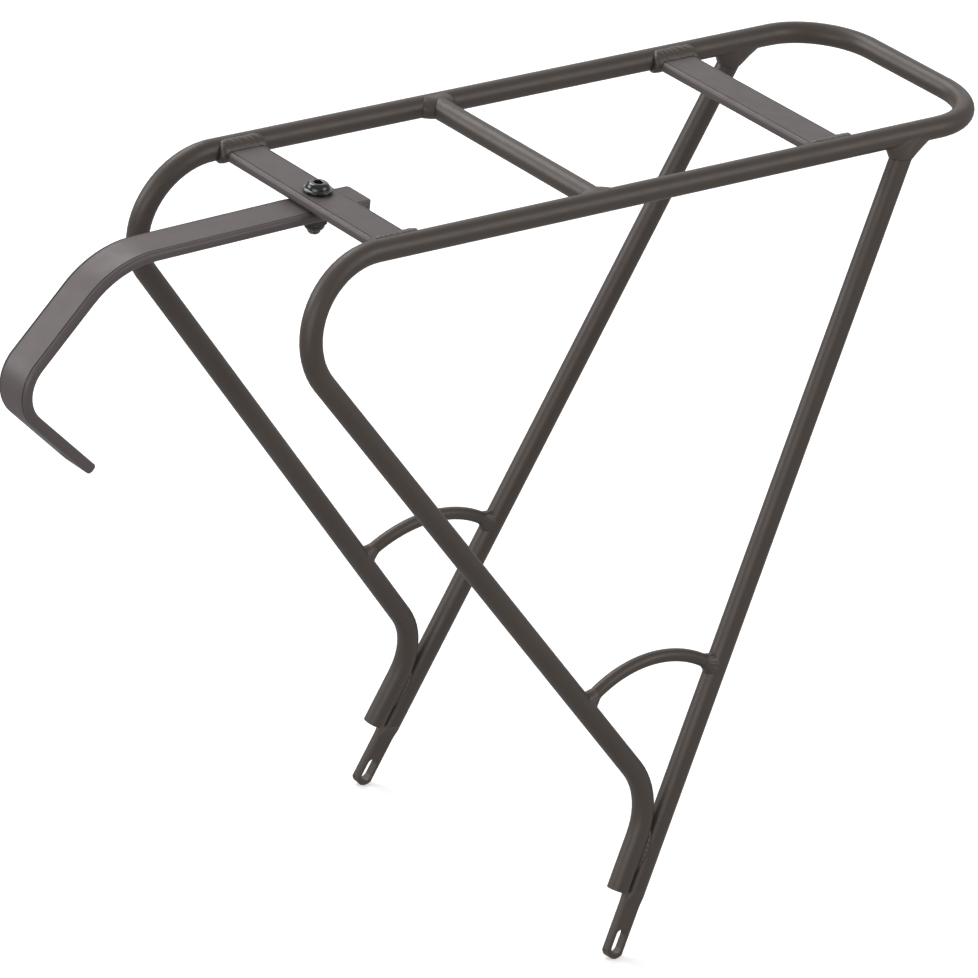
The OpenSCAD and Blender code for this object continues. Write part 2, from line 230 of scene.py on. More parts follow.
@dataclass(frozen=True)
class PowderCoat:
    """Satin powder coat: fine orange peel, a faint mineral speckle and slow changes of tone, and on strip an edge
    groove with painted shade along it.
    """

    name: str
    slot: str
    colour: tuple[float, float, float]
    roughness: float
    peel: float = 0.9 * MM
    peel_depth: float = 0.02 * MM
    speckle: float = 0.25 * MM
    mottle: float = 45 * MM
    rub: float = 7 * MM
    ripple: float = 1.6 * MM
    ripple_depth: float = 0.0
    edge: EdgeGrooveAndPaintedShade | None = None

    def make(self) -> bpy.types.Material:
        """Builds the coat's nodes and returns the material."""
        sheet = NodeSheet(self.name)
        sheet.shader.inputs["Specular IOR Level"].default_value = 0.5
        grain = sheet.spread(sheet.noise(self.speckle, 1), 0.9, 1.1)
        tone = sheet.spread(sheet.noise(self.mottle, 3), 0.93, 1.07)
        shade = sheet.product(grain, tone)
        rubbed = sheet.noise(self.rub, 4)
        sheet.join(sheet.spread(rubbed, self.roughness - 0.04, self.roughness + 0.04), "Roughness")
        layers = [(sheet.noise(self.peel, 2), self.peel_depth)]
        if self.ripple_depth:
            layers.append((sheet.noise(self.ripple, 3), self.ripple_depth))
        if self.edge:
            away = sheet.distance(self.edge.across, self.edge.middle, self.edge.offset)
            layers.append((sheet.spread(away, 0, 1, 0, self.edge.width / 2), self.edge.depth))
            # Painted shade: the colour darkens to edge.shade along the line where the flat meets the rounded edge.
            shade = sheet.product(shade, sheet.spread(away, self.edge.shade, 1, 0, self.edge.width / 2))
        sheet.shade(self.colour, shade)
        sheet.bump(*layers)
        return sheet.material


@dataclass(frozen=True)
class BlackPlate:
    """Gloss black plating on steel, with faint turning marks and a soft clear layer."""

    name: str
    slot: str
    colour: tuple[float, float, float] = (0.004, 0.004, 0.004)
    roughness: float = 0.14

    def make(self) -> bpy.types.Material:
        """Builds the plating's nodes and returns the material."""
        sheet = NodeSheet(self.name)
        sheet.shader.inputs["Specular IOR Level"].default_value = 0.5
        sheet.shader.inputs["Coat Weight"].default_value = 0.6
        sheet.shader.inputs["Coat Roughness"].default_value = 0.05
        turned = sheet.noise(0.35 * MM, 2, (1, 1, 5))
        sheet.shade(self.colour, sheet.spread(turned, 0.8, 1.25))
        sheet.join(sheet.spread(turned, self.roughness - 0.03, self.roughness + 0.03), "Roughness")
        sheet.bump((turned, 0.0008 * MM))
        return sheet.material


@dataclass(frozen=True)
class BrightSteel:
    """Bare steel of a thread's end, with fine marks along the turning."""

    name: str
    slot: str
    colour: tuple[float, float, float] = (0.32, 0.27, 0.24)
    roughness: float = 0.35

    def make(self) -> bpy.types.Material:
        """Builds the steel's nodes and returns the material."""
        sheet = NodeSheet(self.name)
        sheet.shader.inputs["Metallic"].default_value = 1.0
        marks = sheet.noise(0.3 * MM, 3, (1, 1, 4))
        sheet.shade(self.colour, sheet.spread(marks, 0.75, 1.2))
        sheet.join(sheet.spread(marks, self.roughness - 0.08, self.roughness + 0.1), "Roughness")
        sheet.bump((marks, 0.008 * MM))
        return sheet.material


@dataclass(frozen=True)
class PaleFloor:
    """Matt pale studio floor."""

    name: str = "pale_floor"
    colour: tuple[float, float, float] = (0.93, 0.93, 0.93)
    glow: float = 0.35

    def make(self) -> bpy.types.Material:
        """Builds the floor's nodes and returns the material."""
        sheet = NodeSheet(self.name)
        sheet.shade(self.colour, sheet.spread(sheet.noise(0.4, 2), 0.995, 1.005))
        sheet.shader.inputs["Roughness"].default_value = 0.9
        sheet.shader.inputs["Specular IOR Level"].default_value = 0.1
        sheet.shader.inputs["Emission Color"].default_value = (1, 1, 1, 1)
        sheet.shader.inputs["Emission Strength"].default_value = self.glow
        return sheet.material


Finish = PowderCoat | BlackPlate | BrightSteel

ROD_COAT = PowderCoat("graphite_rod_coat", "coated_rod", (0.064, 0.049, 0.04), 0.42)
STRIP_COAT = PowderCoat("graphite_strip_coat", "coated_flat", (0.098, 0.079, 0.079), 0.45)
WELD_COAT = PowderCoat(
    "graphite_weld_coat", "coated_weld", (0.07, 0.055, 0.046), 0.38, ripple_depth=0.06 * MM
)
BLACK_PLATE = BlackPlate("gloss_black_plate", "black_steel")
THREAD_STEEL = BrightSteel("bare_thread_end", "black_steel")


# ---- Surfaces ----


def grid_faces(rows: int, columns: int, wrap_rows: bool, wrap_columns: bool) -> Array:
    """Quads of a grid of points numbered row by row.

    Args:
        rows: Number of rows.
        columns: Number of points in a row.
        wrap_rows: Whether the last row joins the first.
        wrap_columns: Whether a row's last point joins its first.

    Returns:
        An array of shape (quads, 4) of point numbers.
    """
    i = np.arange(rows if wrap_rows else rows - 1)[:, None]
    j = np.arange(columns if wrap_columns else columns - 1)[None, :]
    i_next, j_next = (i + 1) % rows, (j + 1) % columns
    corners = [i * columns + j, i_next * columns + j, i_next * columns + j_next, i * columns + j_next]
    return np.stack([np.broadcast_to(c, (i.size, j.size)) for c in corners], axis=-1).reshape(-1, 4)


@dataclass(frozen=True)
class Piece:
    """A finished surface that rides on a body and stands for some CAD nodes."""

    name: str
    body: Body
    finish: Finish
    stands_for: tuple[str, ...] = ()

    def place(self, points: Array, wrap_rows: bool, wrap_columns: bool) -> bpy.types.Object:
        """Makes the mesh of a grid of points and puts it into the scene.

        Rows or columns that shrink to one point are merged there, which closes the surface.

        Args:
            points: Array of shape (rows, columns, 3), in metres.
            wrap_rows: Whether the last row joins the first.
            wrap_columns: Whether a row's last point joins its first.

        Returns:
            The new object.
        """
        rows, columns, _ = points.shape
        faces = grid_faces(rows, columns, wrap_rows, wrap_columns)
        mesh = bpy.data.meshes.new(self.name)
        mesh.vertices.add(rows * columns)
        mesh.vertices.foreach_set("co", points.reshape(-1).astype(np.float32))
        mesh.loops.add(faces.size)
        mesh.loops.foreach_set("vertex_index", faces.reshape(-1).astype(np.int32))
        mesh.polygons.add(len(faces))
        mesh.polygons.foreach_set("loop_start", np.arange(0, faces.size, 4, dtype=np.int32))
        mesh.update(calc_edges=True)
        shape = bmesh.new()
        shape.from_mesh(mesh)
        bmesh.ops.remove_doubles(shape, verts=shape.verts, dist=0.001 * MM)
        bmesh.ops.recalc_face_normals(shape, faces=shape.faces)
        shape.to_mesh(mesh)
        shape.free()
        mesh.polygons.foreach_set("use_smooth", np.ones(len(mesh.polygons), dtype=bool))
        mesh.update()
        piece = bpy.data.objects.new(self.name, mesh)
        bpy.context.scene.collection.objects.link(piece)
        mesh.materials.append(finished(self.finish))
        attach(piece, self.body.value)
        if self.stands_for:
            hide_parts(*self.stands_for)
        log.info("%s: %d faces", self.name, len(mesh.polygons))
        return piece


_made: dict[str, bpy.types.Material] = {}


def finished(finish: Finish | PaleFloor) -> bpy.types.Material:
    """The material of a finish, made the first time it is asked for."""
    if finish.name not in _made:
        _made[finish.name] = finish.make()
    return _made[finish.name]


def unit(vectors: Array) -> Array:
    """Vectors along the last axis, each divided by its length."""
    return vectors / np.linalg.norm(vectors, axis=-1, keepdims=True)


def wave_noise(t: Array, seed: float) -> Array:
    """A smooth uneven wave between about -1 and 1: three sines whose lengths don't divide each other."""
    return (np.sin(1.7 * t + seed) + np.sin(2.9 * t + 2.3 * seed) + np.sin(5.3 * t + 4.1 * seed)) / 3


@dataclass(frozen=True)
class WeldBead:
    """Weld metal laid in the corner between two parts, as a chain of overlapping ripples."""

    bulge: float
    pitch: float
    ripple: float
    root: float = 1.6 * MM
    ring: int = 22
    wander: float = 0.18 * MM
    crest: float = 0.0
    slant: float = 0.9

    def surface(self, low: Array, high: Array, outward: Array, seed: float) -> Array:
        """Closed section carried along the seam.

        At each point of the seam the section goes from the low toe to the high toe along the straight chord,
        raised by bulge * 4 t (1 - t), and back below the chord by root * 4 t (1 - t), inside the metal.
        Ripples of length pitch raise the outer side. They slant by slant of a pitch on their way to the high
        toe, and crest makes them stronger there.

        Args:
            low: Points of one toe line, of shape (n, 3).
            high: Points of the other toe line, of shape (n, 3).
            outward: Unit vectors away from the metal, of shape (n, 3).
            seed: Number that makes this weld differ from the others.

        Returns:
            Points of shape (n, 2 * ring, 3).
        """
        middle = (low + high) / 2
        steps = np.linalg.norm(np.diff(middle, axis=0, prepend=middle[:1]), axis=1)
        along = np.cumsum(steps)
        drift = wave_noise(along / (3.1 * MM), seed) * self.wander
        chord = unit(high - low)
        low = low - chord * drift[:, None]
        high = high + chord * np.roll(drift, 7)[:, None]
        t = np.linspace(0, 1, self.ring, endpoint=False)
        out_t, back_t = t, 1 - t
        hump_out = 4 * out_t * (1 - out_t)
        hump_back = -4 * back_t * (1 - back_t)
        phase = along[:, None] / self.pitch + self.slant * out_t[None, :] ** 1.5
        phase = phase + 0.25 * wave_noise(along / (5 * MM), seed + 1)[:, None]
        strength = np.sqrt(hump_out) * (1 - self.crest + 2 * self.crest * out_t)
        scallop = (0.5 + 0.5 * np.cos(2 * math.pi * phase)) ** 0.6 * strength[None, :]
        lift = self.bulge * hump_out[None, :] + self.ripple * scallop
        sink = np.broadcast_to(self.root * hump_back, lift.shape)
        share = np.concatenate([out_t, back_t])[None, :, None]
        rise = np.concatenate([lift, sink], axis=1)[:, :, None]
        return low[:, None] * (1 - share) + high[:, None] * share + outward[:, None] * rise


# ---- The carrier's own geometry ----


@dataclass(frozen=True)
class CarrierSizes:
    """Sizes that the welds need, the same as in the CAD model."""

    rod_r: float = 5 * MM
    rail_height: float = 356 * MM
    rail_y: float = 59.2 * MM
    foot_y: float = 93.2 * MM
    stay_angle: float = math.radians(67.5)
    leg_angle: float = math.radians(50.3)
    leg_offset: float = 10.4 * MM
    front_reach: float = 223.3 * MM

    @property
    def splay(self) -> float:
        """Angle by which the side planes lean outwards towards the feet."""
        return math.atan2(self.foot_y - self.rail_y, self.rail_height)

    @property
    def side_h(self) -> float:
        """Distance from the slots up to the rails' axes, in the side plane."""
        return math.hypot(self.rail_height, self.foot_y - self.rail_y)

    @property
    def knee(self) -> tuple[float, float]:
        """Corner of the leg's line and the leg end's line, as (u, v) in the side plane."""
        normal = np.array([math.sin(self.stay_angle), -math.cos(self.stay_angle)])
        heading = np.array([math.cos(self.leg_angle), -math.sin(self.leg_angle)])
        corner = np.array([-self.front_reach, self.side_h])
        run = (-self.leg_offset - corner @ normal) / (heading @ normal)
        return tuple(corner + run * heading)

    def on_side(self, side: Side, u: Array, v: Array, n: Array) -> Array:
        """World points of side-plane places.

        Y is side * (foot_y - v sin(splay) + n cos(splay)) and Z is v cos(splay) + n sin(splay).

        Args:
            side: The carrier's side.
            u: Distances to the rear.
            v: Distances up the plane.
            n: Distances out of the carrier.

        Returns:
            Points with one more axis than the inputs.
        """
        u, v, n = np.broadcast_arrays(u, v, n)
        sine, cosine = math.sin(self.splay), math.cos(self.splay)
        y = side.value * (self.foot_y - v * sine + n * cosine)
        return np.stack([u, y, v * cosine + n * sine], axis=-1)

    def side_vector(self, side: Side, u: Array, v: Array, n: Array) -> Array:
        """World direction of a side-plane direction, by the same rule without the place."""
        origin = self.on_side(side, 0.0, 0.0, 0.0)
        return self.on_side(side, u, v, n) - origin


@dataclass(frozen=True)
class RailWelds:
    """Welds that run round the end of a cross bar or of the middle rod, against a rail."""

    sizes: CarrierSizes
    bar_z: float = 355 * MM
    bar_half_w: float = 10 * MM
    bar_half_t: float = 2.5 * MM
    bar_edge_r: float = 2 * MM
    bar_weld: tuple[float, float, float] = (3.4 * MM, 4.9 * MM, 2.2 * MM)
    rod_weld: tuple[float, float, float] = (3.6 * MM, 3.4 * MM, 4.2 * MM)
    lean: float = 0.6
    steps: int = 260

    def bar_outline(self, x: float) -> tuple[Array, Array]:
        """Closed outline of the bar's section, by equal steps of its rounded rectangle's length.

        Each edge is straight and each corner a quarter circle, so a step's place is found by adding up lengths.

        Args:
            x: The bar's middle.

        Returns:
            Points (n, 2) as x and z, and their outward normals (n, 2).
        """
        half = np.array([self.bar_half_w, self.bar_half_t]) - self.bar_edge_r
        quarter = math.pi / 2 * self.bar_edge_r
        lengths = np.array([2 * half[0], quarter, 2 * half[1], quarter] * 2)
        ends = np.cumsum(lengths)
        s = np.linspace(0, ends[-1], self.steps, endpoint=False)
        index = np.searchsorted(ends, s, side="right")
        part = (s - (ends - lengths)[index]) / lengths[index]
        turn = math.pi / 2 - (index // 2) * math.pi / 2
        angle = np.where(index % 2 == 1, turn - part * math.pi / 2, turn)
        normal = np.stack([np.cos(angle), np.sin(angle)], axis=-1)
        corner_signs = np.array([[1, 1], [1, 1], [1, -1], [1, -1], [-1, -1], [-1, -1], [-1, 1], [-1, 1]])
        start_signs = np.array([[-1, 1], [1, 1], [1, 1], [1, -1], [1, -1], [-1, -1], [-1, -1], [-1, 1]])
        begin, finish = half * start_signs[index], half * corner_signs[index]
        core = np.where((index % 2 == 0)[:, None], begin + part[:, None] * (finish - begin), finish)
        points = core + normal * self.bar_edge_r
        return points + np.array([x, self.bar_z]), normal

    def rod_outline(self, x: float) -> tuple[Array, Array]:
        """Circle of the middle rod's section and its outward normals, as x and z."""
        angle = np.linspace(0, 2 * math.pi, self.steps, endpoint=False)
        normal = np.stack([np.cos(angle), np.sin(angle)], axis=-1)
        return normal * self.sizes.rod_r + np.array([x, self.sizes.rail_height]), normal

    def toes(
        self, outline: Array, normal: Array, size: tuple[float, float, float], side: Side
    ) -> tuple[Array, Array, Array]:
        """Toe lines of a weld between an outline that runs into the rail and the rail.

        The outline meets the rail at the angle whose sine is its height above the rail's axis over the radius.
        One toe lies the first size before that line. The other climbs the rail by an arc of the second size,
        and lies the third size to either side along it. Outward leans to the carrier's middle.

        Args:
            outline: Points (n, 2) as x and z.
            normal: Outward normals (n, 2).
            size: Lengths of the weld on the bar or rod, up the rail and along it.
            side: The rail's side.

        Returns:
            The low toe, the high toe and the outward directions, each (n, 3).
        """
        r = self.sizes.rod_r
        reach, climb, spread = size
        lift = np.clip((outline[:, 1] - self.sizes.rail_height) / r, -0.995, 0.995)
        angle = np.arcsin(lift)
        y_meet = self.sizes.rail_y - r * np.cos(angle)
        low_y = y_meet - reach
        climbed = angle + climb / r * normal[:, 1]
        high_x = outline[:, 0] + spread * normal[:, 0]
        high_y = self.sizes.rail_y - r * np.cos(climbed)
        high_z = self.sizes.rail_height + r * np.sin(climbed)
        low = np.stack([outline[:, 0], side.value * low_y, outline[:, 1]], axis=-1)
        high = np.stack([high_x, side.value * high_y, high_z], axis=-1)
        inward = np.full(len(normal), -self.lean * side.value)
        outward = unit(np.stack([normal[:, 0], inward, normal[:, 1]], axis=-1))
        return low, high, outward

    def build(self) -> None:
        """Makes the welds of both cross bars and of the middle rod."""
        bead = WeldBead(bulge=1.25 * MM, pitch=3.3 * MM, ripple=0.2 * MM, crest=0.9)
        for number, side in enumerate(Side):
            for bar in ("front", "rear"):
                node = f"{bar}_bar_weld_{side.word}"
                x = middle_of(f"{bar}_cross_bar")[0]
                toes = self.toes(*self.bar_outline(x), self.bar_weld, side)
                points = bead.surface(*toes, seed=2.1 * number + x * 10)
                Piece(f"{node}_bead", Body.FRAME, WELD_COAT, (node,)).place(points, True, True)
            node = f"mid_rod_weld_{side.word}"
            x = middle_of("mid_cross_rod")[0]
            toes = self.toes(*self.rod_outline(x), self.rod_weld, side)
            collar = WeldBead(bulge=0.25 * MM, pitch=2.2 * MM, ripple=0.12 * MM)
            points = collar.surface(*toes, seed=5.0 + number)
            Piece(f"{node}_collar", Body.FRAME, WELD_COAT, (node,)).place(points, True, True)


@dataclass(frozen=True)
class BraceWelds:
    """Flared collars where the thin braces meet the legs and the stays."""

    sizes: CarrierSizes
    brace_r: float = 60 * MM
    brace_rod_r: float = 3 * MM
    brace_x: float = 13.5 * MM
    brace_top: float = 134.9 * MM
    spread: float = 2.1 * MM
    depth: float = 4.4 * MM
    farthest: float = 14 * MM
    halvings: int = 40
    steps: int = 120

    def crossing(self, point: Array, heading: Array, way: int) -> Array:
        """Where the brace's circle crosses a rod's axis.

        Args:
            point: A point of the axis, (u, v).
            heading: The axis's unit vector.
            way: 1 for the crossing further along, -1 for the other.

        Returns:
            The crossing, (u, v).
        """
        centre = np.array([self.brace_x, self.brace_top - self.brace_r])
        from_centre = point - centre
        b = from_centre @ heading
        c = from_centre @ from_centre - self.brace_r**2
        return point + (-b + way * math.sqrt(b * b - c)) * heading

    def collar(self, crossing: Array, rod: Array, way: int, side: Side) -> Array:
        """Surface of one collar.

        For each angle round the brace, the low toe lies on the brace, depth beyond the rod's surface, and the
        high toe lies on the rod's surface, spread outside the brace, found by moving along the brace until the
        distance from the rod's axis is the rod's radius.

        Args:
            crossing: Where the brace's axis crosses the rod's axis, (u, v).
            rod: The rod's unit vector, (u, v).
            way: 1 where the brace leaves the crossing anticlockwise, -1 where it leaves clockwise.
            side: The carrier's side.

        Returns:
            Points of the collar's grid.
        """
        centre = np.array([self.brace_x, self.brace_top - self.brace_r])
        start = crossing - centre
        begin = math.atan2(start[1], start[0])
        angle = np.linspace(0, 2 * math.pi, self.steps, endpoint=False)

        def on_brace(arc: Array, radius: float) -> tuple[Array, Array, Array]:
            """Side-plane coordinates at an arc length from the crossing and a radius from the brace's axis."""
            bearing = begin + way * arc / self.brace_r
            reach = self.brace_r + radius * np.cos(angle)
            return centre[0] + reach * np.cos(bearing), centre[1] + reach * np.sin(bearing), radius * np.sin(angle)

        def off_rod(place: tuple[Array, Array, Array]) -> Array:
            """Distance of a place from the rod's axis."""
            across = (place[0] - crossing[0]) * rod[1] - (place[1] - crossing[1]) * rod[0]
            return np.hypot(across, place[2])

        def landing(radius: float) -> Array:
            """Arc length at which the line at this radius leaves the rod's surface, by halving."""
            near, far = np.zeros(self.steps), np.full(self.steps, self.farthest)
            for _ in range(self.halvings):
                middle = (near + far) / 2
                inside = off_rod(on_brace(middle, radius)) < self.sizes.rod_r
                near, far = np.where(inside, middle, near), np.where(inside, far, middle)
            return near

        foot = landing(self.brace_rod_r)
        low = self.sizes.on_side(side, *on_brace(foot + self.depth, self.brace_rod_r - 0.02 * MM))
        wide = min(self.brace_rod_r + self.spread, self.sizes.rod_r - 0.05 * MM)
        high = self.sizes.on_side(side, *on_brace(landing(wide) - 0.05 * MM, wide))
        axis = self.sizes.on_side(side, *on_brace(foot + self.depth, 0.0))
        outward = unit(low - axis)
        bead = WeldBead(bulge=-0.3 * MM, pitch=2.4 * MM, ripple=0.16 * MM, root=1.2 * MM, wander=0.15 * MM)
        return bead.surface(low, high, outward, seed=crossing[0] * 300 + side.value)

    def build(self) -> None:
        """Makes the four collars."""
        stay = np.array([math.cos(self.sizes.stay_angle), math.sin(self.sizes.stay_angle)])
        leg = np.array([math.cos(self.sizes.leg_angle), -math.sin(self.sizes.leg_angle)])
        for side in Side:
            for word, point, rod, way in (
                ("stay", np.zeros(2), stay, 1),
                ("leg", np.array(self.sizes.knee), leg, -1),
            ):
                node = f"brace_{word}_weld_{side.word}"
                crossing = self.crossing(point, rod, way)
                points = self.collar(crossing, rod, way, side)
                Piece(f"{node}_collar", Body.FRAME, WELD_COAT, (node,)).place(points, True, True)


@dataclass(frozen=True)
class StayWelds:
    """Smooth webs at the tops of the stays, and groove fillings at their feet."""

    sizes: CarrierSizes
    web_h: float = 10.2 * MM
    web_front: float = 12.8 * MM
    web_rear: float = 10.8 * MM
    web_proud: float = 0.45 * MM
    foot_low: float = 33 * MM
    foot_high: float = 54 * MM
    groove_angle: float = math.radians(47)
    steps: int = 160

    def web(self, side: Side) -> Array:
        """Surface of the web between a stay and its rail.

        Its lower ring is the slanted circle that goes round the stay. Its upper ring lies on the rail's lower
        half: a long oval whose places across the rail give its height by the rail's circle. Between them the
        surface is a chord that is a little hollow.
        """
        s = self.sizes
        top_u = s.side_h / math.tan(s.stay_angle)
        foot_u = top_u - self.web_h / math.tan(s.stay_angle)
        angle = np.linspace(0, 2 * math.pi, self.steps, endpoint=False)
        cosine, sine = np.cos(angle), np.sin(angle)
        proud = s.rod_r + self.web_proud
        low_u = foot_u + proud / math.sin(s.stay_angle) * cosine
        low = s.on_side(side, low_u, s.side_h - self.web_h, proud * sine)
        oval = np.sign(sine) * np.abs(sine) ** 0.7
        across = 0.985 * s.rod_r * oval
        reach = np.where(cosine > 0, self.web_rear, self.web_front)
        high_u = top_u + reach * np.sign(cosine) * np.abs(cosine) ** 0.85
        high = s.on_side(side, high_u, s.side_h - np.sqrt(s.rod_r**2 - across**2) + 0.25 * MM, across)
        outward = s.side_vector(side, cosine, 0 * cosine, sine)
        bead = WeldBead(bulge=0.1 * MM, pitch=7 * MM, ripple=0.14 * MM, root=1.0 * MM, ring=30, wander=0.1 * MM)
        return bead.surface(low, high, unit(outward), seed=9.0 + side.value)

    def groove(self, side: Side) -> Array:
        """Surface of the weld metal in the groove between a stay and the leg's end.

        The section is the lens between the two rods: it spans the groove on the outer side and on the inner
        side of the carrier, and narrows to nothing at both ends. At its widest it reaches groove_angle round
        each rod.
        """
        s = self.sizes
        along = np.linspace(self.foot_low, self.foot_high, self.steps)
        part = (along - self.foot_low) / (self.foot_high - self.foot_low)
        open_angle = self.groove_angle * np.sqrt(np.clip(np.sin(math.pi * part), 0, 1))
        stay_u, stay_v = math.cos(s.stay_angle), math.sin(s.stay_angle)
        cross_u, cross_v = -stay_v, stay_u
        t = np.linspace(0, 1, 12, endpoint=False)
        reach = s.rod_r * (1 - np.cos(open_angle))
        height = s.rod_r * np.sin(open_angle)
        ripple = (0.5 + 0.5 * np.cos(2 * math.pi * along / (2.3 * MM)))[:, None]
        hump = 4 * t * (1 - t)
        lift = height[:, None] * (1 + 0.1 * hump[None, :]) + 0.28 * MM * ripple * hump[None, :]
        gap = s.leg_offset - 2 * s.rod_r
        start, end = reach[:, None], (2 * reach + gap)[:, None]
        outer = s.rod_r - start + end * t[None, :]
        inner = s.rod_r - start + end * (1 - t[None, :])
        offset = np.concatenate([outer, inner], axis=1)
        n = np.concatenate([lift, -lift[:, ::-1]], axis=1)
        u = along[:, None] * stay_u + offset * cross_u
        v = along[:, None] * stay_v + offset * cross_v
        points = s.on_side(side, u, v, n)
        points[0] = points[0].mean(axis=0)
        points[-1] = points[-1].mean(axis=0)
        return points

    def build(self) -> None:
        """Makes both webs and both groove fillings."""
        for side in Side:
            node = f"stay_gusset_{side.word}"
            Piece(f"{node}_web", Body.FRAME, WELD_COAT, (node,)).place(self.web(side), True, True)
            node = f"foot_weld_{side.word}"
            Piece(f"{node}_fill", Body.FRAME, WELD_COAT, (node,)).place(self.groove(side), False, True)


# ---- Clamp bolt ----


@dataclass(frozen=True)
class ClampBolt:
    """Flanged button-head bolt with a hexagon socket and a rolled thread."""

    seat_z: float = 358.3 * MM
    flange_r: float = 6.7 * MM
    flange_t: float = 0.9 * MM
    dome_r: float = 5.35 * MM
    head_h: float = 3.7 * MM
    rim_r: float = 2.95 * MM
    socket_half: float = 2.0 * MM
    socket_h: float = 2.4 * MM
    shank_r: float = 3.0 * MM
    length: float = 20 * MM
    plain_share: float = 0.72
    thread_pitch: float = 1.0 * MM
    thread_depth: float = 0.5 * MM
    tip: float = 0.8 * MM
    spokes: int = 96

    def hexagon(self, angle: Array) -> Array:
        """Distance from the centre to a hexagon's side, at an angle.

        It is half the hexagon's width over the cosine of the angle from that side's middle.
        """
        return self.socket_half / np.cos((angle + math.pi / 6) % (math.pi / 3) - math.pi / 6)

    def head(self) -> Array:
        """Rings of the head and the plain shank, from the socket's floor round to the shank's end.

        A ring is a circle, except in the socket, where its radius is the hexagon's. The dome is an arc from the
        rim of the flat top to the flange, and edges are rounded by arcs of a few points.
        """
        angle = np.linspace(0, 2 * math.pi, self.spokes, endpoint=False)
        hexagon, ones = self.hexagon(angle), np.ones(self.spokes)
        top = self.seat_z + self.head_h
        floor = top - self.socket_h
        rings = [(0 * ones, floor - 0.5 * MM), (hexagon * 0.6, floor - 0.2 * MM), (hexagon * 0.985, floor)]
        rings += [(hexagon, floor + 0.05 * MM), (hexagon, top - 0.25 * MM), (hexagon + 0.06 * MM, top - 0.08 * MM)]
        rings += [(0.5 * hexagon + 0.5 * self.rim_r, top), (ones * (self.rim_r - 0.1 * MM), top)]
        dome_h = self.head_h - self.flange_t
        for turn in np.radians(np.linspace(4, 86, 14)):
            swing = self.rim_r + (self.dome_r - self.rim_r) * math.sin(turn)
            rings.append((ones * swing, self.seat_z + self.flange_t + dome_h * math.cos(turn)))
        rings.append((ones * (self.dome_r + 0.12 * MM), self.seat_z + self.flange_t + 0.04 * MM))
        edge = 0.35 * MM
        for turn in np.radians(np.linspace(90, -90, 9)):
            out = self.flange_r - edge + edge * math.cos(turn)
            rings.append((ones * out, self.seat_z + self.flange_t / 2 + self.flange_t / 2 * math.sin(turn)))
        rings += [(ones * (self.shank_r + 0.2 * MM), self.seat_z), (ones * self.shank_r, self.seat_z - 0.2 * MM)]
        shank_end = self.seat_z - self.length * self.plain_share
        rings += [(ones * self.shank_r, shank_end), (0 * ones, shank_end)]
        return self.stack(angle, rings)

    def thread(self) -> Array:
        """Rings of the threaded end.

        The radius falls by the thread's depth in a triangle wave of the height plus the angle's share of one
        pitch, and the lowest rings shrink into the chamfered tip.
        """
        angle = np.linspace(0, 2 * math.pi, self.spokes, endpoint=False)
        low = self.seat_z - self.length
        high = self.seat_z - self.length * self.plain_share + 0.3 * MM
        z = np.linspace(low, high, 130)
        wave = (z[:, None] / self.thread_pitch + angle[None, :] / (2 * math.pi)) % 1.0
        groove = self.thread_depth * np.clip(1.15 - 2.3 * np.abs(wave - 0.5), 0, 1)
        limit = self.shank_r - self.tip + (z - low)[:, None]
        radius = np.minimum(self.shank_r - groove, limit)
        rings = [(np.zeros(self.spokes), low)]
        rings += [(radius[k], height) for k, height in enumerate(z)]
        rings.append((np.zeros(self.spokes), high))
        return self.stack(angle, rings)

    def stack(self, angle: Array, rings: list[tuple[Array, float]]) -> Array:
        """Points of rings given as (radii, height), about the bolt's axis."""
        radii = np.stack([r for r, _ in rings])
        heights = np.array([z for _, z in rings])
        axis_x, axis_y = middle_of("clamp_bolt")[:2]
        x = axis_x + radii * np.cos(angle)
        y = axis_y + radii * np.sin(angle)
        return np.stack([x, y, np.broadcast_to(heights[:, None], radii.shape)], axis=-1)

    def build(self) -> None:
        """Makes the head with its shank, and the threaded end."""
        Piece("clamp_bolt_head", Body.FRAME, BLACK_PLATE, ("clamp_bolt",)).place(self.head(), False, True)
        Piece("clamp_bolt_thread", Body.FRAME, THREAD_STEEL).place(self.thread(), False, True)


# ---- CAD nodes that stay ----


@dataclass(frozen=True)
class CoatedNodes:
    """CAD nodes whose shape is right, with the finish that each takes."""

    rods: tuple[str, ...] = (
        "carrier_hoop",
        "stay_left",
        "stay_right",
        "mid_cross_rod",
        "brace_left",
        "brace_right",
    )
    fittings: tuple[str, ...] = ("bolt_washer", "lock_nut")
    strips: dict[str, Axis] = field(
        default_factory=lambda: {"front_cross_bar": Axis.X, "rear_cross_bar": Axis.X, "front_strut": Axis.Y}
    )

    def dress(self, name: str, finish: Finish) -> None:
        """Puts a finish on one node.

        Args:
            name: The node.
            finish: Its finish.
        """
        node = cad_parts[name]
        node.data.materials.clear()
        node.data.materials.append(finished(finish))
        log.info("%s: %s", name, finish.name)

    def build(self) -> None:
        """Dresses every node, and gives the welds' nodes their coat too."""
        for name in self.rods:
            self.dress(name, ROD_COAT)
        for name, across in self.strips.items():
            edge = EdgeGrooveAndPaintedShade(across, middle_of(name)[across.value])
            self.dress(name, replace(STRIP_COAT, name=f"{STRIP_COAT.name}_{name}", edge=edge))
        for name in (*self.fittings, "clamp_bolt"):
            self.dress(name, BLACK_PLATE)
        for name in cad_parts:
            if "weld" in name or "gusset" in name:
                self.dress(name, WELD_COAT)


def middle_of(node: str) -> Array:
    """Centre of a CAD node's box."""
    low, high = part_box(node)
    return (np.array(low) + np.array(high)) / 2


# ---- Studio ----


